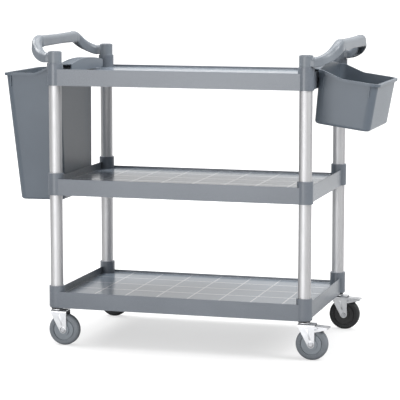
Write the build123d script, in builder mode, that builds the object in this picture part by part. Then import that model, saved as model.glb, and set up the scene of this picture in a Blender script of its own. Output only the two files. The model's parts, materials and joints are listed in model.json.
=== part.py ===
from build123d import *
import math
import os

os.makedirs("parts", exist_ok=True)

# A three-shelf serving trolley with two bins. Sizes are in millimetres.
# The origin is on the floor under the middle of the four posts. +X runs along the trolley
# towards the small bin, +Y to the back and +Z up.

# Posts
post_span_x = 800.0  # between post axes, along the trolley
post_span_y = 490.0  # between post axes, across it
tube_od = 40.0
tube_wall = 1.5
tube_play = 0.1  # radial room of a tube in its sleeve or collar

# Shelves, with heights above each shelf's own underside
bottom_level = 120.0  # underside of the bottom shelf above the floor
middle_level = 478.0
top_level = 821.0
sleeve_od = 50.0
sleeve_height = 69.0
sleeve_top_round = 1.0
sleeve_foot_round = 5.0
rim_height = 51.5  # front and end walls
back_rim_height = 36.0  # the back wall is lower, for loading
rim_round = 1.2
deck_height = 29.0  # top face of the deck
deck_thickness = 3.5
shelf_wall = 3.0
tray_reach_x = 13.5  # end walls outside the post axes
tray_reach_y = 21.0  # front and back walls outside the post axes
tray_corner = 20.0
tile_count_x = 8
tile_count_y = 5
rib_thickness = 2.5
rib_depth = 14.0
socket_depth = 31.0  # of a tube in a middle sleeve
stem_web = 12.0  # floor of a bottom sleeve, which the caster stem passes through

# Handles
collar_od = 43.0
collar_height = 36.0
collar_cap = 4.0
collar_round = 1.0
handle_wall = 3.0
arm_width = 28.0
arm_height = 30.0
arm_rise = 17.0  # arm axis above the top sleeves
arm_run = 26.0  # straight part of an arm, from the post axis
bend_lead = 8.0  # pull of the bend's curve along the arm
bend_low_pull = (62.0, 7.0, 0.0)  # outside the post axis, inside it, and share of the rise
bend_high_pull = (84.0, 71.0, 0.7)  # the same, nearer to the grip
bend_tail = 58.0  # pull of the bend's curve along the grip
bend_steps = 6
grip_width = 32.0
grip_height = 34.0
grip_waist = 3.0  # the grip is this much lower in its middle
grip_rise = 63.5  # grip axis above the top sleeves
grip_reach = 84.0  # grip axis outside the post axes
grip_inset = 95.0  # ends of the straight grip inside the post axes, across the trolley
handle_top_round = 13.0
handle_foot_round = 4.0
handle_rib = 2.0
handle_rib_pitch = 50.0
bend_ribs = (0.3, 0.7)  # places of ribs along the bend

# Bins, in a frame on the outer top edge of the shelf's end wall, x outwards
bin_wall = 2.5
bin_floor = 3.0
bin_corner = 24.0
bin_foot_round = 9.0
bin_width = 328.0  # at the mouth, over the walls
bin_side_draft = 2.6  # degrees
bin_standoff = 5.3  # back wall from the end wall, at the rim
bin_rim_reach = 7.0
bin_rim_sheet = 2.2
bin_lip = 8.0
rim_back = 8.0  # bin rim at its back, above the shelf's rim
rim_back_run = 16.0  # level stretch there
rim_slope_run = 62.0  # sloping stretch
rim_bend = 40.0
hook_width = 300.0
hook_arch = 13.0  # rise of the hook's top edge in its middle
hook_sheet = 3.0
hook_drop = 17.0  # hook's apron below the shelf's rim
hook_corner = 8.0
hook_reach = 34.0  # apron inside the end wall's outer face
hook_play = 0.5  # between the hook's ribs and the inside of the end wall
hook_rib_pitch = 120.0
hook_rib_drop = 12.0  # ribs below the shelf's rim, behind the end wall
gusset_sheet = 2.4
gusset_height = 26.0
gusset_reach = 4.5
gusset_inset = 22.0  # from the front and back walls
seat_gap = 0.3  # between a moving piece and the face that stops it

large_mouth = 183.0  # front to back, over the walls
large_rim_level = -19.0
large_floor = -426.0
large_back_draft = 0.0
large_front_draft = 4.8

small_mouth = 186.0
small_rim_level = -9.0
small_floor = -157.0
small_back_draft = 2.6
small_front_draft = 2.0

# Casters, in a frame on the floor under the swivel axis, trailing towards +X
wheel_radius = 50.0
caster_trail = 25.0
tyre_width = 30.0
tyre_bore = 36.5  # radius
tyre_round = 10.0
tyre_fit = 0.05
hub_rim_width = 27.0
hub_rim_sheet = 1.8
hub_groove = 3.0
hub_groove_width = 18.0
hub_disc_width = 25.0
hub_boss = 18.0  # radius
hub_play = 0.5  # from the boss to each fork leg
bush_od = 14.0
axle_od = 8.0
axle_head = 14.0
axle_head_height = 4.0
axle_nut = 13.0  # across flats
axle_nut_height = 6.5
axle_end = 2.0
running_fit = 0.05  # radial room of a turning piece
bolt_fit = 0.1  # radial room of a fixed bolt
fork_gap = 36.0
fork_sheet = 2.5
fork_bend = 6.0
fork_back = 16.0  # crown behind the swivel axis
fork_front = 36.0  # crown ahead of the swivel axis
fork_shoulder = 8.0  # straight edge of a leg below the crown
fork_foot = 11.0  # radius round the axle
race_od = 36.0
race_height = 3.0
seal_od = 38.0
seal_height = 4.5
stem_od = 12.0
stem_head = 20.0
stem_head_height = 4.0
stem_nut = 19.0  # across flats
stem_nut_height = 10.0
stem_end = 3.0

# Brakes on the two right-hand casters
pivot_x = 39.0
pivot_z = 97.0
pivot_od = 5.0
pivot_head = 8.0
pivot_head_height = 1.5
ear_radius = 8.0
pedal_sheet = 2.0
pedal_play = 0.3  # from a cheek to a fork leg
pedal_root = 6.0  # plate behind the pivot
pedal_tip_x = 80.0
pedal_rise = 9.5  # plate above the pivot at its root
pedal_tip_rise = 6.5  # plate above the pivot at its tip
pedal_tip_depth = 5.0
pedal_cheek = 7.0  # cheek below the pivot
pedal_round = 6.0
shoe_start = 7.0  # ahead of the pivot
shoe_length = 16.0
shoe_width = 26.0
shoe_gap = 5.0  # from the tyre, brake off

# Derived sizes
tray_length = post_span_x + 2 * tray_reach_x
tray_width = post_span_y + 2 * tray_reach_y
inner_length = tray_length - 2 * shelf_wall
inner_width = tray_width - 2 * shelf_wall
sleeve_top = top_level + sleeve_height
shelf_rim = top_level + rim_height
fork_width = fork_gap + 2 * fork_sheet
race_top = bottom_level - seal_height - seat_gap
crown_top = race_top - race_height
crown_under = crown_top - fork_sheet

corners = {
    "front_left": (-post_span_x / 2, -post_span_y / 2),
    "front_right": (post_span_x / 2, -post_span_y / 2),
    "back_left": (-post_span_x / 2, post_span_y / 2),
    "back_right": (post_span_x / 2, post_span_y / 2),
}
braked_corners = ("front_right", "back_right")


def save(piece, name):
    """Label a finished piece and write it as its own STEP file."""
    piece.label = name
    export_step(piece, f"parts/{name}.step")


def shelf(level, bores, foot_round):
    """A moulded tray with ribs under its deck and a sleeve at each corner.

    Each bore in the sleeves is its radius with its lowest and highest height.
    """
    with BuildPart() as sleeve:
        with BuildSketch(Plane.XY.offset(level)):
            Circle(sleeve_od / 2)
        extrude(amount=sleeve_height)
        fillet(sleeve.edges().group_by(Axis.Z)[0], foot_round)
        fillet(sleeve.edges().group_by(Axis.Z)[-1], sleeve_top_round)

    rib_foot = level + deck_height - deck_thickness - rib_depth
    with BuildPart() as tray:
        with BuildSketch(Plane.XY.offset(level)):
            RectangleRounded(tray_length, tray_width, tray_corner)
        extrude(amount=rim_height)
        with BuildSketch(Plane.XY.offset(level + deck_height)):
            RectangleRounded(inner_length, inner_width, tray_corner - shelf_wall)
        extrude(amount=rim_height - deck_height, mode=Mode.SUBTRACT)
        with BuildSketch(Plane.XY.offset(level + back_rim_height)):
            with Locations((0, tray_width / 2)):
                Rectangle(post_span_x, 2 * shelf_wall)
        extrude(amount=rim_height - back_rim_height, mode=Mode.SUBTRACT)
        straight_edges = tray.edges().filter_by(GeomType.LINE)
        long_edges = straight_edges.filter_by(lambda edge: edge.length > post_span_y / 2)
        rim_foot = level + back_rim_height - rim_round
        fillet(long_edges.filter_by(lambda edge: edge.center().Z > rim_foot), rim_round)
        with BuildSketch(Plane.XY.offset(level)):
            RectangleRounded(inner_length, inner_width, tray_corner - shelf_wall)
        extrude(amount=deck_height - deck_thickness, mode=Mode.SUBTRACT)
        with BuildSketch(Plane.XY.offset(rib_foot)):
            with GridLocations(inner_length / tile_count_x, 0, tile_count_x - 1, 1):
                Rectangle(rib_thickness, inner_width + shelf_wall)
            with GridLocations(0, inner_width / tile_count_y, 1, tile_count_y - 1):
                Rectangle(inner_length + shelf_wall, rib_thickness)
        extrude(amount=rib_depth)
        with GridLocations(post_span_x, post_span_y, 2, 2):
            add(sleeve.part)
        for radius, low, high in bores:
            with BuildSketch(Plane.XY.offset(level + low)):
                with GridLocations(post_span_x, post_span_y, 2, 2):
                    Circle(radius)
            extrude(amount=high - low, mode=Mode.SUBTRACT)
    return tray.part


def tube(foot, top):
    """A straight post tube on the Z axis."""
    with BuildPart() as post:
        with BuildSketch(Plane.XY.offset(foot)):
            Circle(tube_od / 2)
            Circle(tube_od / 2 - tube_wall, mode=Mode.SUBTRACT)
        extrude(amount=top - foot)
    return post.part


def bar_section(plane, width, height):
    """Outline of the handle's bar, rounded over the top."""
    with BuildSketch(plane) as section:
        Rectangle(width, height)
        fillet(section.vertices().group_by(Axis.Y)[-1], handle_top_round)
        fillet(section.vertices().group_by(Axis.Y)[0], handle_foot_round)
    return section.sketch


def hollow_section(plane, width, height):
    """Outline of the hollow in the bar, open at the bottom."""
    with BuildSketch(plane) as section:
        with Locations((0, -handle_wall)):
            Rectangle(width - 2 * handle_wall, height)
        fillet(section.vertices().group_by(Axis.Y)[-1], handle_top_round - handle_wall)
    return section.sketch


def handle():
    """The right-hand push handle: two collars joined by a ribbed, open-bottomed bar."""
    post_x = post_span_x / 2
    post_y = -post_span_y / 2
    arm_z = sleeve_top + arm_rise
    grip_x = post_x + grip_reach
    grip_z = sleeve_top + grip_rise
    grip_half = post_span_y / 2 - grip_inset

    pulls = [(post_x + arm_run, post_y, arm_z), (post_x + arm_run + bend_lead, post_y, arm_z)]
    for outside, inside, share in (bend_low_pull, bend_high_pull):
        pulls.append((post_x + outside, post_y + inside, arm_z + share * (grip_z - arm_z)))
    pulls += [(grip_x, -grip_half - bend_tail, grip_z), (grip_x, -grip_half, grip_z)]
    with BuildLine():
        bend = Bezier(*pulls)

    def half_bar(outline, start):
        """The front half of the bar or of its hollow, which swells from arm to grip."""
        root_plane = Plane((post_x + start, post_y, arm_z), x_dir=(0, 1, 0), z_dir=(1, 0, 0))
        middle_plane = Plane((grip_x, 0, grip_z), x_dir=(-1, 0, 0), z_dir=(0, 1, 0))
        root = outline(root_plane, arm_width, arm_height)
        middle = outline(middle_plane, grip_width, grip_height - grip_waist)
        sections = []
        for step in range(bend_steps + 1):
            share = step / bend_steps
            across = Vector(0, 1, 0).rotate(Axis.Z, 90 * share)
            plane = Plane(bend @ share, x_dir=across, z_dir=bend % share)
            width = arm_width + (grip_width - arm_width) * share
            height = arm_height + (grip_height - arm_height) * share
            sections.append(outline(plane, width, height))
        with BuildPart() as half:
            loft([root, sections[0]], ruled=True)
            loft(sections)
            loft([sections[-1], middle], ruled=True)
        return half.part

    with BuildPart() as hollow:
        add(half_bar(hollow_section, collar_od / 2 + handle_rib))
        for share in bend_ribs:
            rib_plane = Plane(bend @ share, z_dir=bend % share)
            with BuildSketch(rib_plane):
                Rectangle(3 * grip_width, 3 * grip_height)
            extrude(amount=handle_rib / 2, both=True, mode=Mode.SUBTRACT)
        for step in range(int(grip_half / handle_rib_pitch) + 1):
            with BuildSketch(Plane.XZ.offset(step * handle_rib_pitch)):
                with Locations((grip_x, grip_z)):
                    Rectangle(2 * grip_width, 2 * grip_height)
            extrude(amount=handle_rib / 2, both=True, mode=Mode.SUBTRACT)

    with BuildPart() as bar:
        add(half_bar(bar_section, tube_od / 4))
        add(hollow.part, mode=Mode.SUBTRACT)
        mirror(about=Plane.XZ)
        with BuildSketch(Plane.XY.offset(sleeve_top)):
            with Locations((post_x, post_y), (post_x, -post_y)):
                Circle(collar_od / 2)
        extrude(amount=collar_height)
        collar_tops = bar.faces().filter_by(GeomType.PLANE).filter_by(
            lambda face: abs(face.center().Z - sleeve_top - collar_height) < collar_round / 2
        )
        fillet(collar_tops.edges(), collar_round)
        with BuildSketch(Plane.XY.offset(sleeve_top)):
            with Locations((post_x, post_y), (post_x, -post_y)):
                Circle(tube_od / 2 + tube_play)
        extrude(amount=collar_height - collar_cap, mode=Mode.SUBTRACT)
    return bar.part


def hooked_bin(mouth, rim_level, floor, back_draft, front_draft):
    """A bin with a rolled rim and a hook over the shelf's end wall, upright in its own frame."""
    front = bin_standoff + mouth
    ceiling = rim_back + hook_arch
    low_rim = rim_level - 2 * bin_lip

    def outline(height, grow):
        """The bin's plan at a height, grown outwards all round."""
        back_x = bin_standoff - height * math.tan(math.radians(back_draft)) - grow
        front_x = front + (height - rim_level) * math.tan(math.radians(front_draft)) + grow
        width = bin_width + 2 * (height - rim_level) * math.tan(math.radians(bin_side_draft)) + 2 * grow
        with BuildSketch(Plane.XY.offset(height)) as plan:
            with Locations(((back_x + front_x) / 2, 0)):
                RectangleRounded(front_x - back_x, width, bin_corner + grow)
        return plan.sketch

    def below_rim(drop):
        """Everything under the rim's line, lowered by a drop."""
        slope_start = bin_standoff + rim_back_run
        far = front + 2 * bin_width
        with BuildPart() as region:
            with BuildSketch(Plane.XZ):
                with BuildLine():
                    line = FilletPolyline(
                        (-far, rim_back - drop),
                        (slope_start, rim_back - drop),
                        (slope_start + rim_slope_run, rim_level - drop),
                        (far, rim_level - drop),
                        radius=rim_bend,
                    )
                    Polyline(line @ 1, (far, 2 * floor), (-far, 2 * floor), line @ 0)
                make_face()
            extrude(amount=bin_width, both=True)
        return region.part

    with BuildPart() as lip:
        loft([outline(low_rim, bin_rim_reach), outline(ceiling, bin_rim_reach)])
        inside = bin_rim_reach - bin_rim_sheet
        loft([outline(low_rim, inside), outline(ceiling, inside)], mode=Mode.SUBTRACT)
        add(below_rim(0), mode=Mode.INTERSECT)
        add(below_rim(bin_lip), mode=Mode.SUBTRACT)
        split(bisect_by=Plane.YZ.offset(bin_standoff), keep=Keep.TOP)

    with BuildPart() as flange:
        loft([outline(low_rim, bin_rim_reach), outline(ceiling, bin_rim_reach)])
        add(below_rim(0), mode=Mode.INTERSECT)
        add(below_rim(bin_rim_sheet), mode=Mode.SUBTRACT)
        split(bisect_by=Plane.YZ.offset(bin_standoff), keep=Keep.TOP)

    with BuildPart() as cavity:
        loft([outline(floor + bin_floor, -bin_wall), outline(2 * ceiling, -bin_wall)])
        fillet(cavity.edges().group_by(Axis.Z)[0], bin_foot_round - bin_wall)

    def hook_face(inside):
        """The hook from the trolley's end, arched over the top, or its inside."""
        foot = -hook_drop - inside
        with BuildSketch(Plane.YZ.offset(inside - hook_reach)) as face:
            with BuildLine():
                top = ThreePointArc(
                    (-hook_width / 2, rim_back - inside),
                    (0, rim_back + hook_arch - inside),
                    (hook_width / 2, rim_back - inside),
                )
                Polyline(top @ 1, (hook_width / 2, foot), (-hook_width / 2, foot), top @ 0)
            make_face()
            if not inside:
                fillet(face.vertices().group_by(Axis.Y)[0], hook_corner)
        return face.sketch

    with BuildPart() as body:
        loft([outline(floor, 0), outline(ceiling, 0)])
        fillet(body.edges().group_by(Axis.Z)[0], bin_foot_round)
        add(below_rim(0), mode=Mode.INTERSECT)
        add(lip.part)
        add(flange.part)
        gusset_z = rim_level - bin_lip - gusset_height / 2
        with Locations((bin_standoff + gusset_inset, 0, gusset_z), (front - gusset_inset, 0, gusset_z)):
            Box(gusset_sheet, bin_width + 2 * gusset_reach, gusset_height + 2 * bin_lip)
        extrude(hook_face(0), amount=hook_reach + bin_standoff + bin_wall)
        add(cavity.part, mode=Mode.SUBTRACT)
        extrude(hook_face(hook_sheet), amount=hook_reach - hook_sheet + bin_standoff, mode=Mode.SUBTRACT)
        with BuildSketch(Plane.XZ) as rib:
            with BuildLine():
                Polyline(
                    (hook_sheet / 2 - hook_reach, rim_back),
                    (bin_standoff + bin_wall / 2, rim_back),
                    (bin_standoff + bin_wall / 2, seat_gap),
                    (-shelf_wall - hook_play, seat_gap),
                    (-shelf_wall - hook_play, -hook_rib_drop),
                    (hook_sheet / 2 - hook_reach, -hook_rib_drop),
                    close=True,
                )
            make_face()
        with GridLocations(0, hook_rib_pitch, 1, 3):
            extrude(rib.sketch, amount=gusset_sheet / 2, both=True)
    return body.part


def bin_tilt(back_draft, stop_depth):
    """Degrees that a hanging bin tips until its back wall leans on an edge below the rim."""
    return back_draft + math.degrees(math.atan2(bin_standoff - seat_gap, stop_depth))


def fork(braked):
    """A pressed caster fork, with ears for the brake's pivot where it has one."""
    with BuildPart() as piece:
        with BuildSketch(Plane.YZ.offset(-fork_back)) as channel:
            with Locations((0, crown_top / 2)):
                Rectangle(fork_width, crown_top)
            fillet(channel.vertices().group_by(Axis.Y)[-1], fork_bend)
            with BuildSketch(mode=Mode.PRIVATE) as inside:
                with Locations((0, crown_under / 2)):
                    Rectangle(fork_gap, crown_under)
                fillet(inside.vertices().group_by(Axis.Y)[-1], fork_bend - fork_sheet)
            add(inside.sketch, mode=Mode.SUBTRACT)
        extrude(amount=fork_back + pivot_x + ear_radius)
        with BuildSketch(Plane.XZ) as outline:
            with Locations(((fork_front - fork_back) / 2, crown_top - fork_shoulder / 2)):
                Rectangle(fork_front + fork_back, fork_shoulder)
            with Locations((caster_trail, wheel_radius)):
                Circle(fork_foot)
            make_hull()
            if braked:
                with BuildSketch(mode=Mode.PRIVATE) as ear:
                    with Locations((pivot_x, pivot_z)):
                        Circle(ear_radius)
                    with Locations((fork_front - ear_radius, pivot_z)):
                        Rectangle(2 * ear_radius, 2 * ear_radius)
                add(ear.sketch)
        extrude(amount=fork_width, both=True, mode=Mode.INTERSECT)
        with BuildSketch(Plane.XY.offset(crown_top)):
            Circle(race_od / 2)
        extrude(amount=race_height)
        with BuildSketch(Plane.XY.offset(crown_under)):
            Circle(stem_od / 2 + running_fit)
        extrude(amount=fork_sheet + race_height, mode=Mode.SUBTRACT)
        with BuildSketch(Plane.XZ):
            with Locations((caster_trail, wheel_radius)):
                Circle(axle_od / 2 + bolt_fit)
            if braked:
                with Locations((pivot_x, pivot_z)):
                    Circle(pivot_od / 2 + bolt_fit)
        extrude(amount=fork_width, both=True, mode=Mode.SUBTRACT)
    return piece.part


def hexagon(across_flats):
    """A nut's outline in the current sketch."""
    RegularPolygon(across_flats / 2, 6, major_radius=False)


# Shelves
socket = tube_od / 2 + tube_play
stem_hole = stem_od / 2 + bolt_fit
bottom_bores = [(stem_hole, 0, stem_web), (socket, stem_web, sleeve_height)]
middle_bores = [(socket, 0, socket_depth), (socket, sleeve_height - socket_depth, sleeve_height)]
top_bores = [(socket, 0, sleeve_height)]
save(shelf(bottom_level, bottom_bores, sleeve_foot_round), "bottom_shelf")
save(shelf(middle_level, middle_bores, sleeve_top_round), "middle_shelf")
save(shelf(top_level, top_bores, sleeve_top_round), "top_shelf")

# Posts
lower_post = tube(bottom_level + stem_web, middle_level + socket_depth)
upper_post = tube(middle_level + sleeve_height - socket_depth, sleeve_top + collar_height - collar_cap)
for corner, (x, y) in corners.items():
    save(Pos(x, y) * lower_post, f"lower_post_{corner}")
    save(Pos(x, y) * upper_post, f"upper_post_{corner}")

# Handles
right_handle = handle()
save(right_handle, "right_handle")
save(mirror(right_handle, about=Plane.YZ), "left_handle")

# Bins, each hung over an end wall and tipped until it leans on a shelf
large_bin = hooked_bin(large_mouth, large_rim_level, large_floor, large_back_draft, large_front_draft)
large_tilt = bin_tilt(large_back_draft, shelf_rim - middle_level)
left_end = Pos(-tray_length / 2, 0, shelf_rim) * Rot(0, 0, 180)
save(left_end * Rot(0, large_tilt, 0) * large_bin, "large_bin")

small_bin = hooked_bin(small_mouth, small_rim_level, small_floor, small_back_draft, small_front_draft)
small_tilt = bin_tilt(small_back_draft, rim_height)
right_end = Pos(tray_length / 2, 0, shelf_rim)
save(right_end * Rot(0, small_tilt, 0) * small_bin, "small_bin")
print(f"bin tilts in degrees: large {large_tilt:.3f}, small {small_tilt:.3f}")

# Caster stem: a headed pin that carries the fork and is bolted through the sleeve's floor
head_top = crown_under - seat_gap
with BuildPart() as stem:
    with BuildSketch(Plane.XY.offset(head_top - stem_head_height)):
        Circle(stem_head / 2)
    extrude(amount=stem_head_height)
    with BuildSketch(Plane.XY.offset(head_top)):
        Circle(stem_od / 2)
    extrude(amount=bottom_level + stem_web + stem_nut_height + stem_end - head_top)

# Seal ring under the sleeve
with BuildPart() as seal:
    with BuildSketch(Plane.XY.offset(bottom_level - seal_height)):
        Circle(seal_od / 2)
        Circle(stem_od / 2 + bolt_fit, mode=Mode.SUBTRACT)
    extrude(amount=seal_height)

# Nuts on the stems, inside the bottom sleeves
with BuildPart() as stem_nuts:
    with BuildSketch(Plane.XY.offset(bottom_level + stem_web)):
        with GridLocations(post_span_x, post_span_y, 2, 2):
            hexagon(stem_nut)
            Circle(stem_od / 2 + bolt_fit, mode=Mode.SUBTRACT)
    extrude(amount=stem_nut_height)
save(stem_nuts.part, "stem_nuts")

# Axle bolt along Y with its nut, round the wheel's centre
with BuildPart() as axle:
    with BuildSketch(Plane.XZ.offset(-fork_width / 2)):
        hexagon(axle_nut)
        Circle(axle_od / 2 + bolt_fit, mode=Mode.SUBTRACT)
    extrude(amount=-axle_nut_height)
    with BuildSketch(Plane.XZ.offset(fork_width / 2)):
        Circle(axle_head / 2)
    extrude(amount=axle_head_height)
    fillet(axle.faces().sort_by(Axis.Y)[0].edges(), axle_head_height / 2)
    with BuildSketch(Plane.XZ.offset(fork_width / 2)):
        Circle(axle_od / 2)
    extrude(amount=-(fork_width + axle_nut_height + axle_end))

# Bush that spaces the fork legs and carries the hub
with BuildPart() as bush:
    with BuildSketch(Plane.XZ):
        Circle(bush_od / 2)
        Circle(axle_od / 2 + bolt_fit, mode=Mode.SUBTRACT)
    extrude(amount=fork_gap / 2, both=True)

# Tyre: a flat tread with rounded shoulders
with BuildPart() as tyre:
    with BuildSketch(Plane.XY) as tread:
        with Locations(((wheel_radius + tyre_bore) / 2, 0)):
            Rectangle(wheel_radius - tyre_bore, tyre_width)
        fillet(tread.vertices().group_by(Axis.X)[-1], tyre_round)
    revolve(axis=Axis.Y)

# Hub: boss, disc, a groove round the disc and a thin rim inside the tyre
hub_radius = tyre_bore - tyre_fit
groove_outer = hub_radius - hub_rim_sheet
disc_radius = groove_outer - hub_groove
with BuildPart() as hub:
    with BuildSketch(Plane.XY):
        for radius, width in (
            (hub_radius, hub_groove_width),
            (disc_radius, hub_disc_width),
            (hub_boss, fork_gap - 2 * hub_play),
        ):
            with Locations((radius / 2, 0)):
                Rectangle(radius, width)
        with Locations(((hub_radius + groove_outer) / 2, 0)):
            Rectangle(hub_rim_sheet, hub_rim_width)
        bore = bush_od / 2 + running_fit
        with Locations((bore / 2, 0)):
            Rectangle(bore, fork_gap, mode=Mode.SUBTRACT)
    revolve(axis=Axis.Y)

# Brake pedal: a pressed lever, open underneath, between the fork's ears
pedal_width = fork_gap - 2 * pedal_play
plate_root = Vector(pivot_x - pedal_root, pivot_z + pedal_rise)
plate_tip = Vector(pedal_tip_x, pivot_z + pedal_tip_rise)


def pedal_side(drop):
    """The pedal's side view, lowered by a drop."""
    with BuildSketch(Plane.XZ) as side_view:
        with BuildLine():
            Polyline(
                (plate_root.X, plate_root.Y - drop),
                (plate_tip.X, plate_tip.Y - drop),
                (plate_tip.X, plate_tip.Y - pedal_tip_depth - drop),
                (pivot_x + pedal_cheek, pivot_z - pedal_cheek - drop),
                (plate_root.X, pivot_z - pedal_cheek - drop),
                close=True,
            )
        make_face()
    return side_view.sketch


with BuildPart() as pedal:
    extrude(pedal_side(0), amount=pedal_width / 2, both=True)
    fillet(pedal.edges().filter_by(Axis.Z).group_by(Axis.X)[-1], pedal_round)
    extrude(pedal_side(pedal_sheet), amount=pedal_width / 2 - pedal_sheet, both=True, mode=Mode.SUBTRACT)
    with BuildSketch(Plane.XZ):
        with Locations((pivot_x, pivot_z)):
            Circle(pivot_od / 2 + running_fit)
    extrude(amount=pedal_width, both=True, mode=Mode.SUBTRACT)

# Brake shoe under the pedal's plate, hollowed to the tyre's curve
plate_slope = (plate_tip.Y - plate_root.Y) / (plate_tip.X - plate_root.X)
shoe_ends = [pivot_x + shoe_start, pivot_x + shoe_start + shoe_length]
shoe_tops = [plate_root.Y - pedal_sheet + plate_slope * (x - plate_root.X) for x in shoe_ends]
with BuildPart() as shoe:
    with BuildSketch(Plane.XZ):
        with BuildLine():
            Polyline(
                (shoe_ends[0], shoe_tops[0]),
                (shoe_ends[1], shoe_tops[1]),
                (shoe_ends[1], wheel_radius),
                (shoe_ends[0], wheel_radius),
                close=True,
            )
        make_face()
        with Locations((caster_trail, wheel_radius)):
            Circle(wheel_radius + shoe_gap, mode=Mode.SUBTRACT)
    extrude(amount=shoe_width / 2, both=True)

# Pivot rivets, one in each ear, clear of the tyre between them
rivet_length = fork_sheet + pedal_play + pedal_sheet
with BuildPart() as rivets:
    for side in (-1, 1):
        with BuildSketch(Plane.XZ.offset(side * fork_width / 2)):
            with Locations((pivot_x, pivot_z)):
                Circle(pivot_head / 2)
        extrude(amount=side * pivot_head_height)
        with BuildSketch(Plane.XZ.offset(side * fork_width / 2)):
            with Locations((pivot_x, pivot_z)):
                Circle(pivot_od / 2)
        extrude(amount=-side * rivet_length)

# Casters at the four corners
plain_fork = fork(braked=False)
braked_fork = fork(braked=True)
for corner, (x, y) in corners.items():
    swivel = Pos(x, y)
    wheel = Pos(x + caster_trail, y, wheel_radius)
    braked = corner in braked_corners
    save(swivel * stem.part, f"caster_stem_{corner}")
    save(swivel * seal.part, f"caster_seal_{corner}")
    save(swivel * (braked_fork if braked else plain_fork), f"caster_fork_{corner}")
    save(wheel * (axle.part if y < 0 else Rot(0, 0, 180) * axle.part), f"axle_bolt_{corner}")
    save(wheel * bush.part, f"wheel_bush_{corner}")
    save(wheel * hub.part, f"wheel_hub_{corner}")
    save(wheel * tyre.part, f"wheel_tyre_{corner}")
    if braked:
        save(swivel * pedal.part, f"brake_pedal_{corner}")
        save(swivel * shoe.part, f"brake_shoe_{corner}")
        save(swivel * rivets.part, f"brake_rivets_{corner}")
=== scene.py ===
"""Looks of the serving trolley: finishes, fine moulded pieces, floor, light and camera."""

import json
import logging
import math
from dataclasses import dataclass
from enum import Enum

import bpy
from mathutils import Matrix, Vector


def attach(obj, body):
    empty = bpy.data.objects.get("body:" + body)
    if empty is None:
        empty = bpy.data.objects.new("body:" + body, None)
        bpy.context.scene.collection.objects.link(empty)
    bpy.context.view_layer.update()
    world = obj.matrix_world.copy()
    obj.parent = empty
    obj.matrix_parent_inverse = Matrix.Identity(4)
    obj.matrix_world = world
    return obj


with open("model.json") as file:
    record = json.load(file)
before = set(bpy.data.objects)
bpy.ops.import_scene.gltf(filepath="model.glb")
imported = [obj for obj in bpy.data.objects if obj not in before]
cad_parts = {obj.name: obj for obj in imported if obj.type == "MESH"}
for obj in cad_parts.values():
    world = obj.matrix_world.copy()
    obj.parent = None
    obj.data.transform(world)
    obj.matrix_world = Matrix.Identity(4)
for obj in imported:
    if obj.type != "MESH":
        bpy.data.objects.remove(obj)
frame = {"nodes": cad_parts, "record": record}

logger = logging.getLogger("trolley")

Colour = tuple[float, float, float]
COAT_ROUGHNESS = 0.12
NOISE_LOW = 0.3
NOISE_HIGH = 0.7
SAME_WAY = 0.99
SMOOTH_ANGLE = math.radians(35.0)


class Corner(Enum):
    """The four corners of the trolley, with the place of each post axis in metres."""

    FRONT_LEFT = ("front_left", -0.400, -0.245)
    FRONT_RIGHT = ("front_right", 0.400, -0.245)
    BACK_LEFT = ("back_left", -0.400, 0.245)
    BACK_RIGHT = ("back_right", 0.400, 0.245)

    @property
    def label(self) -> str:
        """The corner's name in node and body names."""
        return self.value[0]

    @property
    def place(self) -> Vector:
        """The foot of the post axis on the floor."""
        return Vector((self.value[1], self.value[2], 0.0))

    @property
    def is_front(self) -> bool:
        """Whether the corner faces the camera."""
        return self.label.startswith("front")


class Grain(Enum):
    """How the fine streaks of a metal run."""

    DRAWN = (420.0, 420.0, 2.2)
    PRESSED = (70.0, 70.0, 70.0)


def linear(red: int, green: int, blue: int) -> Colour:
    """Turn screen values into linear ones.

    Args:
        red: Red from 0 to 255.
        green: Green from 0 to 255.
        blue: Blue from 0 to 255.

    Returns:
        The same colour for a shader socket.
    """

    def one(value: int) -> float:
        """Turn one screen value into a linear one."""
        share = value / 255.0
        return share / 12.92 if share <= 0.04045 else ((share + 0.055) / 1.055) ** 2.4

    return one(red), one(green), one(blue)


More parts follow.
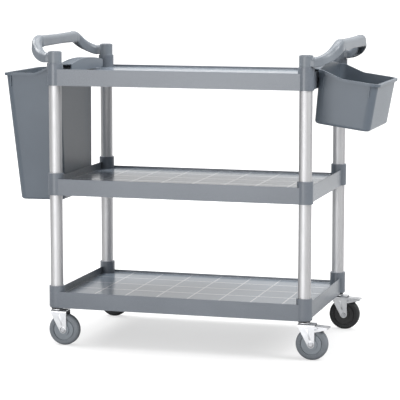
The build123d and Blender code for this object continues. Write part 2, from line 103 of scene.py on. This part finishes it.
class Effects:
    """Shader groups that several finishes share, each built once."""

    grain_detail = 2.0
    cloud_detail = 4.0
    streak_detail = 3.0
    stain_scale = 18.0
    stain_detail = 5.0
    level_face = 0.9

    def __init__(self) -> None:
        """Build the groups."""
        self.grain = self._moulded_grain()
        self.streaks = self._metal_streaks()
        self.painted_lit_deck = self._deck_mask()

    @staticmethod
    def _start(
        name: str, inputs: list[tuple[str, float]], outputs: list[str]
    ) -> bpy.types.ShaderNodeTree:
        """Start a group with named number sockets.

        Args:
            name: Name of the group.
            inputs: Names and default values of its inputs.
            outputs: Names of its outputs.

        Returns:
            The group, holding only its input and output nodes.
        """
        group = bpy.data.node_groups.new(name, "ShaderNodeTree")
        for label, value in inputs:
            socket = group.interface.new_socket(
                label, in_out="INPUT", socket_type="NodeSocketFloat"
            )
            socket.default_value = value
        for label in outputs:
            group.interface.new_socket(label, in_out="OUTPUT", socket_type="NodeSocketFloat")
        group.nodes.new("NodeGroupInput").name = "In"
        group.nodes.new("NodeGroupOutput").name = "Out"
        return group

    @staticmethod
    def math(
        group: bpy.types.ShaderNodeTree, operation: str, first: object, second: object = 0.0
    ) -> object:
        """Add one math node.

        Args:
            group: The tree that gets the node.
            operation: The node's operation.
            first: A socket or a number.
            second: A socket or a number.

        Returns:
            The node's output socket.
        """
        node = group.nodes.new("ShaderNodeMath")
        node.operation = operation
        for index, value in enumerate((first, second)):
            if isinstance(value, (int, float)):
                node.inputs[index].default_value = value
            else:
                group.links.new(value, node.inputs[index])
        return node.outputs[0]

    def _moulded_grain(self) -> bpy.types.ShaderNodeTree:
        """Build the fine grain and slow cloudiness of moulded plastic."""
        inputs = [("Grain Scale", 900.0), ("Cloud Scale", 5.0)]
        group = self._start("moulded_grain", inputs, ["Cloud", "Grain"])
        entry, leave = group.nodes["In"], group.nodes["Out"]
        coords = group.nodes.new("ShaderNodeTexCoord")
        layers = (
            ("Grain", "Grain Scale", self.grain_detail),
            ("Cloud", "Cloud Scale", self.cloud_detail),
        )
        for label, scale, detail in layers:
            noise = group.nodes.new("ShaderNodeTexNoise")
            noise.inputs["Detail"].default_value = detail
            group.links.new(coords.outputs["Object"], noise.inputs["Vector"])
            group.links.new(entry.outputs[scale], noise.inputs["Scale"])
            group.links.new(noise.outputs["Fac"], leave.inputs[label])
        return group

    def _metal_streaks(self) -> bpy.types.ShaderNodeTree:
        """Build streaks whose stretch is set along each axis."""
        inputs = [("Along X", 70.0), ("Along Y", 70.0), ("Along Z", 70.0)]
        group = self._start("metal_streaks", inputs, ["Streak", "Stain"])
        entry, leave = group.nodes["In"], group.nodes["Out"]
        coords = group.nodes.new("ShaderNodeTexCoord")
        stretch = group.nodes.new("ShaderNodeCombineXYZ")
        for socket, label in zip(stretch.inputs, ("Along X", "Along Y", "Along Z")):
            group.links.new(entry.outputs[label], socket)
        scaled = group.nodes.new("ShaderNodeVectorMath")
        scaled.operation = "MULTIPLY"
        group.links.new(coords.outputs["Object"], scaled.inputs[0])
        group.links.new(stretch.outputs["Vector"], scaled.inputs[1])
        streak = group.nodes.new("ShaderNodeTexNoise")
        streak.inputs["Scale"].default_value = 1.0
        streak.inputs["Detail"].default_value = self.streak_detail
        group.links.new(scaled.outputs["Vector"], streak.inputs["Vector"])
        stain = group.nodes.new("ShaderNodeTexNoise")
        stain.inputs["Scale"].default_value = self.stain_scale
        stain.inputs["Detail"].default_value = self.stain_detail
        group.links.new(coords.outputs["Object"], stain.inputs["Vector"])
        group.links.new(streak.outputs["Fac"], leave.inputs["Streak"])
        group.links.new(stain.outputs["Fac"], leave.inputs["Stain"])
        return group

    def _deck_mask(self) -> bpy.types.ShaderNodeTree:
        """Build a mask of the upward faces inside a shelf's walls, which get more gloss and a
        painted light colour.
        """
        group = self._start("deck_mask", [("Reach X", 0.4), ("Reach Y", 0.25)], ["Deck"])
        entry, leave = group.nodes["In"], group.nodes["Out"]
        coords = group.nodes.new("ShaderNodeTexCoord")
        split = group.nodes.new("ShaderNodeSeparateXYZ")
        group.links.new(coords.outputs["Object"], split.inputs[0])
        surface = group.nodes.new("ShaderNodeNewGeometry")
        facing = group.nodes.new("ShaderNodeSeparateXYZ")
        group.links.new(surface.outputs["Normal"], facing.inputs[0])
        mask = self.math(group, "GREATER_THAN", facing.outputs["Z"], self.level_face)
        for axis in ("X", "Y"):
            distance = self.math(group, "ABSOLUTE", split.outputs[axis])
            inside = self.math(group, "LESS_THAN", distance, entry.outputs[f"Reach {axis}"])
            mask = self.math(group, "MULTIPLY", mask, inside)
        group.links.new(mask, leave.inputs["Deck"])
        return group


class ShaderBench:
    """One material with its Principled shader and the links that its finish makes."""

    def __init__(self, name: str) -> None:
        """Start a material.

        Args:
            name: Name of the material.
        """
        self.material = bpy.data.materials.new(name)
        self.material.use_nodes = True
        self.tree = self.material.node_tree
        self.shader = self.tree.nodes["Principled BSDF"]

    def place(self, group: bpy.types.ShaderNodeTree, **values: float) -> bpy.types.ShaderNode:
        """Put a shared group into the material.

        Args:
            group: The group.
            **values: Its input values, with underscores for spaces.

        Returns:
            The group's node.
        """
        node = self.tree.nodes.new("ShaderNodeGroup")
        node.node_tree = group
        for label, value in values.items():
            node.inputs[label.replace("_", " ")].default_value = value
        return node

    def spread(self, value: object, low: float, high: float) -> object:
        """Spread a noise value over a range.

        Args:
            value: The noise socket.
            low: The result at the noise's usual lowest.
            high: The result at its usual highest.

        Returns:
            The result's socket.
        """
        node = self.tree.nodes.new("ShaderNodeMapRange")
        node.inputs["From Min"].default_value = NOISE_LOW
        node.inputs["From Max"].default_value = NOISE_HIGH
        node.inputs["To Min"].default_value = low
        node.inputs["To Max"].default_value = high
        self.tree.links.new(value, node.inputs["Value"])
        return node.outputs[0]

    def tint(self, factor: object, first: object, second: object) -> object:
        """Mix two colours.

        Args:
            factor: The mixing socket.
            first: A colour or a colour socket, at factor 0.
            second: A colour or a colour socket, at factor 1.

        Returns:
            The mixed colour's socket.
        """
        node = self.tree.nodes.new("ShaderNodeMix")
        node.data_type = "RGBA"
        self.tree.links.new(factor, node.inputs["Factor"])
        for socket, value in ((node.inputs[6], first), (node.inputs[7], second)):
            if isinstance(value, tuple):
                socket.default_value = (*value, 1.0)
            else:
                self.tree.links.new(value, socket)
        return node.outputs[2]

    def feed(self, socket: str, value: object) -> None:
        """Link a value to one of the shader's sockets.

        Args:
            socket: Name of the shader's socket.
            value: The socket that feeds it.
        """
        self.tree.links.new(value, self.shader.inputs[socket])

    def relief(self, height: object, strength: float, distance: float) -> None:
        """Bump the surface.

        Args:
            height: The height's socket.
            strength: How strongly it shows.
            distance: Height of the relief in metres.
        """
        bump = self.tree.nodes.new("ShaderNodeBump")
        bump.inputs["Strength"].default_value = strength
        bump.inputs["Distance"].default_value = distance
        self.tree.links.new(height, bump.inputs["Height"])
        self.feed("Normal", bump.outputs["Normal"])


@dataclass(frozen=True)
class MouldedPlastic:
    """Injection-moulded plastic with a fine grain."""

    name: str
    dark: Colour
    light: Colour
    smooth: float
    rough: float
    coat: float = 0.0
    grain_scale: float = 900.0
    cloud_scale: float = 6.0
    relief: float = 0.12
    relief_height: float = 0.0004

    def make(self, effects: Effects) -> bpy.types.Material:
        """Build the material.

        Args:
            effects: The shared groups.

        Returns:
            The finished material.
        """
        bench = ShaderBench(self.name)
        bench.shader.inputs["Coat Weight"].default_value = self.coat
        bench.shader.inputs["Coat Roughness"].default_value = COAT_ROUGHNESS
        grain = bench.place(
            effects.grain, Grain_Scale=self.grain_scale, Cloud_Scale=self.cloud_scale
        )
        cloud = bench.spread(grain.outputs["Cloud"], 0.0, 1.0)
        bench.feed("Base Color", bench.tint(cloud, self.dark, self.light))
        bench.feed("Roughness", bench.spread(grain.outputs["Grain"], self.smooth, self.rough))
        bench.relief(grain.outputs["Grain"], self.relief, self.relief_height)
        return bench.material


@dataclass(frozen=True)
class TiledDeck:
    """Moulded shelf plastic whose upward faces inside the walls are glossier than its walls, with
    painted light: they get a lighter colour for the light from above.
    """

    name: str
    dark: Colour
    light: Colour
    painted_lit_deck: Colour
    wall_smooth: float = 0.24
    wall_rough: float = 0.34
    deck_rough: float = 0.22
    deck_coat: float = 0.25
    grain_scale: float = 700.0
    cloud_scale: float = 4.0
    relief: float = 0.1
    relief_height: float = 0.0004
    reach_x: float = 0.4100
    reach_y: float = 0.2625

    def make(self, effects: Effects) -> bpy.types.Material:
        """Build the material.

        Args:
            effects: The shared groups.

        Returns:
            The finished material.
        """
        bench = ShaderBench(self.name)
        grain = bench.place(
            effects.grain, Grain_Scale=self.grain_scale, Cloud_Scale=self.cloud_scale
        )
        painted_lit_deck = bench.place(effects.painted_lit_deck, Reach_X=self.reach_x, Reach_Y=self.reach_y)
        cloud = bench.spread(grain.outputs["Cloud"], 0.0, 1.0)
        walls = bench.tint(cloud, self.dark, self.light)
        # Painted light: the upward faces take the lighter colour, which stands in for the light
        # from above.
        bench.feed("Base Color", bench.tint(painted_lit_deck.outputs["Deck"], walls, self.painted_lit_deck))
        coat = Effects.math(bench.tree, "MULTIPLY", painted_lit_deck.outputs["Deck"], self.deck_coat)
        bench.feed("Coat Weight", coat)
        bench.shader.inputs["Coat Roughness"].default_value = COAT_ROUGHNESS
        wall_gloss = bench.spread(grain.outputs["Grain"], self.wall_smooth, self.wall_rough)
        gloss = bench.tree.nodes.new("ShaderNodeMix")
        gloss.inputs[3].default_value = self.deck_rough
        bench.tree.links.new(painted_lit_deck.outputs["Deck"], gloss.inputs["Factor"])
        bench.tree.links.new(wall_gloss, gloss.inputs[2])
        bench.feed("Roughness", gloss.outputs[0])
        bench.relief(grain.outputs["Grain"], self.relief, self.relief_height)
        return bench.material


@dataclass(frozen=True)
class BareMetal:
    """Drawn or pressed metal with fine streaks."""

    name: str
    dull: Colour
    bright: Colour
    smooth: float
    rough: float
    grain: Grain
    relief: float = 0.02
    relief_height: float = 0.0001

    def make(self, effects: Effects) -> bpy.types.Material:
        """Build the material.

        Args:
            effects: The shared groups.

        Returns:
            The finished material.
        """
        bench = ShaderBench(self.name)
        bench.shader.inputs["Metallic"].default_value = 1.0
        along_x, along_y, along_z = self.grain.value
        streaks = bench.place(effects.streaks, Along_X=along_x, Along_Y=along_y, Along_Z=along_z)
        tone = bench.spread(streaks.outputs["Streak"], 0.0, 1.0)
        bench.feed("Base Color", bench.tint(tone, self.dull, self.bright))
        bench.feed("Roughness", bench.spread(streaks.outputs["Stain"], self.smooth, self.rough))
        bench.relief(streaks.outputs["Streak"], self.relief, self.relief_height)
        return bench.material


@dataclass(frozen=True)
class Rubber:
    """Rubber with a dusty bloom."""

    name: str
    clean: Colour
    dusty: Colour
    smooth: float = 0.55
    rough: float = 0.75
    grain_scale: float = 450.0
    cloud_scale: float = 22.0
    relief: float = 0.2
    relief_height: float = 0.0003

    def make(self, effects: Effects) -> bpy.types.Material:
        """Build the material.

        Args:
            effects: The shared groups.

        Returns:
            The finished material.
        """
        bench = ShaderBench(self.name)
        grain = bench.place(
            effects.grain, Grain_Scale=self.grain_scale, Cloud_Scale=self.cloud_scale
        )
        bloom = bench.spread(grain.outputs["Cloud"], 0.0, 1.0)
        bench.feed("Base Color", bench.tint(bloom, self.clean, self.dusty))
        bench.feed("Roughness", bench.spread(grain.outputs["Grain"], self.smooth, self.rough))
        bench.relief(grain.outputs["Grain"], self.relief, self.relief_height)
        return bench.material


class Wardrobe:
    """Every finish of the trolley, made once and given to nodes and pieces."""

    def __init__(self, effects: Effects) -> None:
        """Make the finishes.

        Args:
            effects: The shared groups.
        """
        finishes = (
            TiledDeck(
                "shelf_plastic",
                dark=linear(102, 108, 116),
                light=linear(110, 116, 124),
                # Painted light: the lighter colour of the upward faces stands in for the light from
                # above.
                painted_lit_deck=linear(126, 136, 147),
            ),
            # Painted highlight: the ridges are lighter than the shelf plastic, standing in for the
            # light that the low ridges catch.
            MouldedPlastic(
                "ridge_plastic_painted_highlight", linear(176, 181, 186), linear(184, 189, 194), 0.24, 0.30, coat=1.0
            ),
            MouldedPlastic(
                "handle_plastic", linear(112, 118, 125), linear(120, 126, 133), 0.30, 0.40
            ),
            MouldedPlastic("bin_plastic", linear(88, 97, 107), linear(95, 104, 114), 0.32, 0.42),
            BareMetal(
                "post_aluminium", (0.60, 0.60, 0.61), (0.66, 0.66, 0.67), 0.53, 0.60, Grain.DRAWN
            ),
            BareMetal(
                "fork_steel", (0.60, 0.61, 0.63), (0.68, 0.69, 0.71), 0.26, 0.36, Grain.PRESSED
            ),
            BareMetal(
                "bolt_steel", (0.42, 0.43, 0.45), (0.52, 0.53, 0.55), 0.25, 0.42, Grain.PRESSED
            ),
            Rubber("seal_rubber", (0.012, 0.012, 0.013), (0.035, 0.035, 0.037)),
            # Painted shade: the back tyre is a near-black copy of the front tyre, standing in for
            # the shade that the rear wheels sit in.
            Rubber("front_tyre_rubber", linear(112, 117, 123), linear(122, 127, 133)),
            Rubber("back_tyre_rubber", (0.016, 0.017, 0.018), (0.036, 0.037, 0.039)),
            MouldedPlastic(
                "front_hub_plastic", linear(127, 134, 141), linear(136, 143, 150), 0.35, 0.5
            ),
            # Painted shade: the back hub is a near-black copy of the front hub, for the shade that
            # the rear wheels sit in.
            MouldedPlastic(
                "back_hub_plastic", (0.014, 0.014, 0.015), (0.030, 0.030, 0.032), 0.35, 0.5
            ),
        )
        self.materials = {finish.name: finish.make(effects) for finish in finishes}

    def dress(self, piece: bpy.types.Object, slot: str) -> None:
        """Give a piece one finish all over.

        Args:
            piece: A CAD node or a new piece.
            slot: Name of the finish, which is also the record's slot.
        """
        piece.data.materials.clear()
        piece.data.materials.append(self.materials[slot])

    def hand_over(self, piece: bpy.types.Object, body: str, finish: str) -> None:
        """Put a new piece on a body and dress it.

        Args:
            piece: The new piece.
            body: Name of the body that carries it.
            finish: Name of its finish.
        """
        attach(piece, body)
        self.dress(piece, finish)
        logger.info("made %s on %s", piece.name, body)


class Workbench:
    """Edit-mode helpers for pieces that are modelled from a primitive."""

    @staticmethod
    def clear() -> None:
        """Deselect everything before a new piece."""
        bpy.ops.object.select_all(action="DESELECT")

    @staticmethod
    def edit_all() -> None:
        """Open the active piece for editing with all of it selected."""
        bpy.ops.object.mode_set(mode="EDIT")
        bpy.ops.mesh.select_all(action="SELECT")

    @staticmethod
    def close() -> None:
        """Leave edit mode."""
        bpy.ops.object.mode_set(mode="OBJECT")

    @staticmethod
    def edit_faces(piece: bpy.types.Object, facing: Vector) -> None:
        """Open a piece for editing with only the faces selected that look one way.

        Args:
            piece: The active piece.
            facing: The direction that the faces look.
        """
        bpy.ops.object.mode_set(mode="EDIT")
        bpy.context.tool_settings.mesh_select_mode = (False, False, True)
        bpy.ops.mesh.select_all(action="DESELECT")
        bpy.ops.object.mode_set(mode="OBJECT")
        for face in piece.data.polygons:
            face.select = face.normal.dot(facing) > SAME_WAY
        bpy.ops.object.mode_set(mode="EDIT")

    @staticmethod
    def modify(piece: bpy.types.Object, kind: str, **values: object) -> None:
        """Add a modifier and apply it.

        Args:
            piece: The active piece.
            kind: The modifier's type.
            **values: Its settings.
        """
        modifier = piece.modifiers.new(kind.lower(), kind)
        for label, value in values.items():
            setattr(modifier, label, value)
        bpy.ops.object.modifier_apply(modifier=modifier.name)

    @staticmethod
    def settle(piece: bpy.types.Object, name: str) -> bpy.types.Object:
        """Name a piece, put its place into its mesh and shade it.

        Args:
            piece: The active piece.
            name: Its name.

        Returns:
            The finished piece.
        """
        piece.name = name
        piece.data.name = name
        bpy.ops.object.transform_apply(location=True, rotation=True, scale=True)
        bpy.ops.object.shade_smooth_by_angle(angle=SMOOTH_ANGLE)
        return piece


@dataclass(frozen=True)
class DeckRidges:
    """Low moulded ridges that divide a shelf's deck into tiles."""

    name: str
    level: float
    length: float = 0.8208
    width: float = 0.5258
    tiles_x: int = 8
    tiles_y: int = 5
    half_line: float = 0.0021
    lengthwise: float = 1.6
    sink: float = 0.0006
    rise: float = 0.0001
    edge: float = 0.00005

    def fit(self, wardrobe: Wardrobe) -> None:
        """Model the ridges and set them on the frame."""
        # The ridges' lighter finish is a painted highlight.
        wardrobe.hand_over(self.model(), "frame", "ridge_plastic_painted_highlight")

    def model(self) -> bpy.types.Object:
        """Model the ridges as a grid whose tiles are cut out."""
        Workbench.clear()
        bpy.ops.mesh.primitive_grid_add(
            x_subdivisions=self.tiles_x,
            y_subdivisions=self.tiles_y,
            size=1.0,
            location=(0.0, 0.0, self.level - self.sink),
        )
        piece = bpy.context.object
        Workbench.edit_all()
        bpy.ops.transform.resize(value=(self.length, self.width / self.lengthwise, 1.0))
        bpy.ops.mesh.inset(thickness=self.half_line, use_individual=True)
        bpy.ops.mesh.delete(type="FACE")
        bpy.ops.mesh.select_all(action="SELECT")
        bpy.ops.transform.resize(value=(1.0, self.lengthwise, 1.0))
        Workbench.close()
        Workbench.modify(piece, "SOLIDIFY", thickness=self.sink + self.rise, offset=1.0)
        Workbench.modify(piece, "BEVEL", width=self.edge, segments=1, limit_method="ANGLE")
        return Workbench.settle(piece, self.name)


@dataclass(frozen=True)
class CasterTrim:
    """Pressed stiffening ribs on a fork's legs and the flange under its axle bolt's head."""

    corner: Corner
    leg_face: float = 0.0205
    rib_top: tuple[float, float] = (0.0115, 0.0990)
    rib_foot: tuple[float, float] = (0.0215, 0.0650)
    rib_width: float = 0.0050
    rib_height: float = 0.0012
    rib_edge: float = 0.00054
    axle: tuple[float, float] = (0.025, 0.050)
    flange_sides: int = 48
    flange_radius: float = 0.0098
    flange_depth: float = 0.0016
    flange_step: float = 0.0018
    flange_rise: float = 0.0006
    flange_edge: float = 0.0003

    def fit(self, wardrobe: Wardrobe) -> None:
        """Model the ribs and the flange and set them on their caster."""
        caster = f"caster_{self.corner.label}"
        wardrobe.hand_over(self.model_ribs(), caster, "fork_steel")
        wardrobe.hand_over(self.model_flange(), caster, "bolt_steel")

    def model_ribs(self) -> bpy.types.Object:
        """Model one long rounded rib and copy it to the other leg."""
        top = Vector((self.rib_top[0], -self.leg_face, self.rib_top[1]))
        foot = Vector((self.rib_foot[0], -self.leg_face, self.rib_foot[1]))
        run = foot - top
        middle = (top + foot) / 2
        Workbench.clear()
        bpy.ops.mesh.primitive_cube_add(size=1.0, location=self.corner.place + middle)
        piece = bpy.context.object
        Workbench.edit_all()
        bpy.ops.transform.resize(value=(self.rib_width, self.rib_height, run.length))
        bpy.ops.mesh.bevel(offset=self.rib_edge, segments=3, affect="EDGES")
        Workbench.close()
        piece.rotation_euler = (0.0, math.atan2(-run.x, -run.z), 0.0)
        bpy.ops.object.transform_apply(location=True, rotation=True, scale=True)
        Workbench.edit_all()
        across = (0.0, 2 * self.leg_face, 0.0)
        bpy.ops.mesh.duplicate_move(TRANSFORM_OT_translate={"value": across})
        Workbench.close()
        return Workbench.settle(piece, f"fork_ribs_{self.corner.label}")

    def model_flange(self) -> bpy.types.Object:
        """Model the stepped flange round the bolt's head, which is on the trolley's outside."""
        side = -1.0 if self.corner.is_front else 1.0
        centre = Vector((self.axle[0], side * self.leg_face, self.axle[1]))
        Workbench.clear()
        bpy.ops.mesh.primitive_cylinder_add(
            vertices=self.flange_sides,
            radius=self.flange_radius,
            depth=self.flange_depth,
            location=self.corner.place + centre,
            rotation=(math.radians(90.0), 0.0, 0.0),
        )
        piece = bpy.context.object
        bpy.ops.object.transform_apply(location=True, rotation=True, scale=True)
        Workbench.edit_faces(piece, Vector((0.0, side, 0.0)))
        bpy.ops.mesh.inset(thickness=self.flange_step)
        outwards = (0.0, side * self.flange_rise, 0.0)
        bpy.ops.mesh.extrude_region_move(TRANSFORM_OT_translate={"value": outwards})
        Workbench.close()
        Workbench.modify(piece, "BEVEL", width=self.flange_edge, segments=2, limit_method="ANGLE")
        return Workbench.settle(piece, f"bolt_flange_{self.corner.label}")


@dataclass(frozen=True)
class PedalTread:
    """Raised bars that keep a foot from slipping off a brake pedal."""

    corner: Corner
    first_x: float = 0.0575
    pitch: float = 0.0060
    count: int = 3
    plate_top: float = 0.10494
    slope: float = -0.0638
    bar: tuple[float, float, float] = (0.0024, 0.0240, 0.0020)
    edge: float = 0.0007

    def fit(self, wardrobe: Wardrobe) -> None:
        """Model the bars and set them on their pedal."""
        wardrobe.hand_over(self.model(), f"brake_{self.corner.label}", "fork_steel")

    def model(self) -> bpy.types.Object:
        """Model one bar and repeat it down the plate."""
        Workbench.clear()
        bpy.ops.mesh.primitive_cube_add(
            size=1.0, location=self.corner.place + Vector((self.first_x, 0.0, self.plate_top))
        )
        piece = bpy.context.object
        Workbench.edit_all()
        bpy.ops.transform.resize(value=self.bar)
        bpy.ops.mesh.bevel(offset=self.edge, segments=3, affect="EDGES")
        Workbench.close()
        step = (self.pitch, 0.0, self.pitch * self.slope)
        Workbench.modify(
            piece,
            "ARRAY",
            count=self.count,
            use_relative_offset=False,
            use_constant_offset=True,
            constant_offset_displace=step,
        )
        return Workbench.settle(piece, f"pedal_tread_{self.corner.label}")


@dataclass(frozen=True)
class CollarPlug:
    """Dished plug that closes the top of a handle's collar."""

    corner: Corner
    level: float = 0.926
    sides: int = 64
    radius: float = 0.0168
    thickness: float = 0.0024
    rim: float = 0.0026
    dish: float = 0.0007
    edge: float = 0.0004

    def fit(self, wardrobe: Wardrobe) -> None:
        """Model the plug and set it on the frame."""
        wardrobe.hand_over(self.model(), "frame", "handle_plastic")

    def model(self) -> bpy.types.Object:
        """Model a disc, dish its top and soften its edges."""
        Workbench.clear()
        bpy.ops.mesh.primitive_cylinder_add(
            vertices=self.sides,
            radius=self.radius,
            depth=self.thickness,
            location=self.corner.place + Vector((0.0, 0.0, self.level)),
        )
        piece = bpy.context.object
        Workbench.edit_faces(piece, Vector((0.0, 0.0, 1.0)))
        bpy.ops.mesh.inset(thickness=self.rim)
        bpy.ops.mesh.extrude_region_move(TRANSFORM_OT_translate={"value": (0.0, 0.0, -self.dish)})
        Workbench.close()
        Workbench.modify(piece, "BEVEL", width=self.edge, segments=2, limit_method="ANGLE")
        return Workbench.settle(piece, f"collar_plug_{self.corner.label}")


@dataclass(frozen=True)
class SoftBox:
    """One soft light, with its place and size in metres and its power in watts."""

    name: str
    place: tuple[float, float, float]
    width: float
    height: float
    power: float

    def hang(self, target: Vector) -> None:
        """Put the light up.

        Args:
            target: The point that it faces.
        """
        lamp = bpy.data.lights.new(self.name, "AREA")
        lamp.shape = "RECTANGLE"
        lamp.size = self.width
        lamp.size_y = self.height
        lamp.energy = self.power
        stand = bpy.data.objects.new(self.name, lamp)
        bpy.context.scene.collection.objects.link(stand)
        stand.location = self.place
        aim = target - Vector(self.place)
        stand.rotation_euler = aim.to_track_quat("-Z", "Y").to_euler()


@dataclass(frozen=True)
class Studio:
    """Pale floor, soft light and the camera at the photograph's angle."""

    floor_size: float = 160.0
    camera_place: tuple[float, float, float] = (1.6300, -5.6548, 1.2341)
    azimuth: float = 16.09
    pitch: float = 7.65
    lens: float = 166.6
    sensor: float = 36.0
    sight: float = 500.0
    floor_tone: Colour = (0.42, 0.42, 0.42)
    near_glow: Colour = (0.60, 0.60, 0.60)
    far_glow: Colour = (1.0, 1.0, 1.0)
    glow_start: float = 0.7
    glow_end: float = 2.6
    bounce: float = 0.9
    bounce_fade: tuple[float, float] = (0.25, 0.9)
    floor_roughness: float = 0.9
    floor_specular: float = 0.1
    sky_dim: float = 0.22
    sky_front: float = 0.75
    sky_back: float = 0.92
    sky_fade: tuple[float, float] = (0.2, 0.9)
    sky_turn: float = 0.5
    boxes: tuple[SoftBox, ...] = (
        SoftBox("side_box", (3.4, -0.4, 3.0), 2.2, 2.2, 122.0),
        SoftBox("top_box", (0.0, 0.8, 4.4), 3.2, 3.2, 130.0),
        SoftBox("front_box", (-1.1, -5.0, 0.8), 2.2, 1.5, 64.0),
        SoftBox("left_box", (-2.9, 0.6, 3.2), 1.8, 1.8, 115.0),
    )
    box_aim: float = 0.5

    def build_floor(self) -> None:
        """Lay a plain pale floor."""
        bpy.ops.object.select_all(action="DESELECT")
        bpy.ops.mesh.primitive_plane_add(size=self.floor_size, location=(0.0, 0.0, 0.0))
        floor = bpy.context.object
        floor.name = "floor"
        bench = ShaderBench("pale_floor")
        bench.shader.inputs["Base Color"].default_value = (*self.floor_tone, 1.0)
        bench.shader.inputs["Roughness"].default_value = self.floor_roughness
        bench.shader.inputs["Specular IOR Level"].default_value = self.floor_specular
        coords = bench.tree.nodes.new("ShaderNodeTexCoord")
        away = bench.tree.nodes.new("ShaderNodeVectorMath")
        away.operation = "LENGTH"
        bench.tree.links.new(coords.outputs["Object"], away.inputs[0])
        split = bench.tree.nodes.new("ShaderNodeSeparateXYZ")
        bench.tree.links.new(coords.outputs["Object"], split.inputs[0])
        across = Effects.math(bench.tree, "ABSOLUTE", split.outputs["X"])
        aside = bench.tree.nodes.new("ShaderNodeMapRange")
        aside.interpolation_type = "SMOOTHSTEP"
        aside.inputs["From Min"].default_value = self.bounce_fade[0]
        aside.inputs["From Max"].default_value = self.bounce_fade[1]
        aside.inputs["To Min"].default_value = self.bounce
        aside.inputs["To Max"].default_value = 0.0
        slant = Effects.math(bench.tree, "DIVIDE", across, away.outputs["Value"])
        bench.tree.links.new(slant, aside.inputs["Value"])
        path = bench.tree.nodes.new("ShaderNodeLightPath")
        shown = Effects.math(bench.tree, "MAXIMUM", path.outputs["Is Camera Ray"], aside.outputs[0])
        sweep = bench.tree.nodes.new("ShaderNodeMapRange")
        sweep.interpolation_type = "SMOOTHSTEP"
        sweep.inputs["From Min"].default_value = self.glow_start
        sweep.inputs["From Max"].default_value = self.glow_end
        bench.tree.links.new(away.outputs["Value"], sweep.inputs["Value"])
        glow = bench.tint(sweep.outputs[0], self.near_glow, self.far_glow)
        bench.feed("Emission Color", bench.tint(shown, (0.0, 0.0, 0.0), glow))
        bench.shader.inputs["Emission Strength"].default_value = 1.0
        floor.data.materials.append(bench.material)

    def build_light(self) -> None:
        """Set a pale sky and hang the soft boxes."""
        scene = bpy.context.scene
        scene.view_settings.view_transform = "Standard"
        world = bpy.data.worlds.new("studio_sky")
        world.use_nodes = True
        nodes, links = world.node_tree.nodes, world.node_tree.links
        backdrop = nodes["Background"]
        backdrop.inputs["Color"].default_value = (1.0, 1.0, 1.0, 1.0)
        direction = nodes.new("ShaderNodeTexCoord")
        sideways = nodes.new("ShaderNodeVectorMath")
        sideways.operation = "DOT_PRODUCT"
        sideways.inputs[1].default_value = (1.0, 0.0, 0.0)
        links.new(direction.outputs["Generated"], sideways.inputs[0])
        either_side = nodes.new("ShaderNodeMath")
        either_side.operation = "ABSOLUTE"
        links.new(sideways.outputs["Value"], either_side.inputs[0])
        fade = nodes.new("ShaderNodeMapRange")
        fade.interpolation_type = "SMOOTHSTEP"
        fade.inputs["From Min"].default_value = self.sky_fade[0]
        fade.inputs["From Max"].default_value = self.sky_fade[1]
        fade.inputs["To Max"].default_value = self.sky_dim
        links.new(either_side.outputs[0], fade.inputs["Value"])
        backwards = nodes.new("ShaderNodeSeparateXYZ")
        links.new(direction.outputs["Generated"], backwards.inputs[0])
        depth = nodes.new("ShaderNodeMapRange")
        depth.inputs["From Min"].default_value = -self.sky_turn
        depth.inputs["From Max"].default_value = self.sky_turn
        depth.inputs["To Min"].default_value = self.sky_front
        depth.inputs["To Max"].default_value = self.sky_back
        links.new(backwards.outputs["Y"], depth.inputs["Value"])
        links.new(depth.outputs[0], fade.inputs["To Min"])
        links.new(fade.outputs[0], backdrop.inputs["Strength"])
        scene.world = world
        for box in self.boxes:
            box.hang(Vector((0.0, 0.0, self.box_aim)))

    def build_camera(self) -> None:
        """Stand the camera where the photograph was taken from."""
        scene = bpy.context.scene
        lens = bpy.data.cameras.new("camera")
        lens.lens = self.lens
        lens.sensor_width = self.sensor
        lens.clip_end = self.sight
        camera = bpy.data.objects.new("camera", lens)
        scene.collection.objects.link(camera)
        camera.location = self.camera_place
        camera.rotation_euler = (math.radians(90.0 - self.pitch), 0.0, math.radians(self.azimuth))
        scene.camera = camera


def main() -> None:
    """Build the looks in order and report each piece."""
    logging.basicConfig(level=logging.INFO, format="%(name)s: %(message)s")
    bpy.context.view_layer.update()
    studio = Studio()
    studio.build_camera()
    studio.build_floor()
    studio.build_light()
    wardrobe = Wardrobe(Effects())
    slots = {entry["node"]: entry["material_slot"] for entry in frame["record"]["subparts"]}
    for name, node in frame["nodes"].items():
        wardrobe.dress(node, slots[name])
        logger.info("dressed %s with %s", name, slots[name])
    for mount in frame["record"]["mounts"]:
        DeckRidges(f"ridges_{mount['name']}", mount["pos_m"][2]).fit(wardrobe)
    for corner in Corner:
        CasterTrim(corner).fit(wardrobe)
        CollarPlug(corner).fit(wardrobe)
    for corner in (Corner.FRONT_RIGHT, Corner.BACK_RIGHT):
        PedalTread(corner).fit(wardrobe)


if __name__ == "__main__":
    main()
